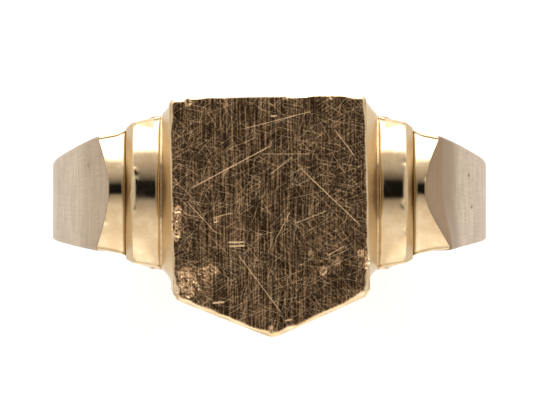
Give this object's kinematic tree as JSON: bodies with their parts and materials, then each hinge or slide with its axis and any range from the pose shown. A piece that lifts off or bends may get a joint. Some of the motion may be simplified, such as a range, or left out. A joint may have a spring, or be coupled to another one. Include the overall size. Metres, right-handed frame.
{
  "type": "signet ring",
  "caption": "Finger ring with a flat shield-shaped seal, stepped ridges on both shoulders and a tapering shank.",
  "frame": {"origin": "centre of the finger hole, on the middle of the band", "axes": "+Z from the finger hole's centre out through the seal face; +Y along the finger axis, towards the seal's straight edge, so the shield's tip points to -Y; +X across the ring, to the right when the seal is read with its straight edge up"},
  "size_m": [0.0214, 0.0114, 0.0225],
  "materials": {
    "brushed_gold": "flat seal face of worn gold, brushed along the finger axis, with many fine scratches and small pits",
    "polished_gold": "polished pale yellow gold with light wear",
    "satin_gold": "satin pale yellow gold, fine lines across the band, softened by wear",
    "solder_gold": "gold solder, polished flush"
  },
  "bodies": {
    "root": {"seal_plate": "brushed_gold", "plate_solder": "solder_gold", "head_block": "polished_gold", "shoulder_left": "polished_gold", "shoulder_left_solder": "solder_gold", "shank_left_solder": "solder_gold", "shoulder_right": "polished_gold", "shoulder_right_solder": "solder_gold", "shank_right_solder": "solder_gold", "shank": "satin_gold"}
  },
  "joints": []
}
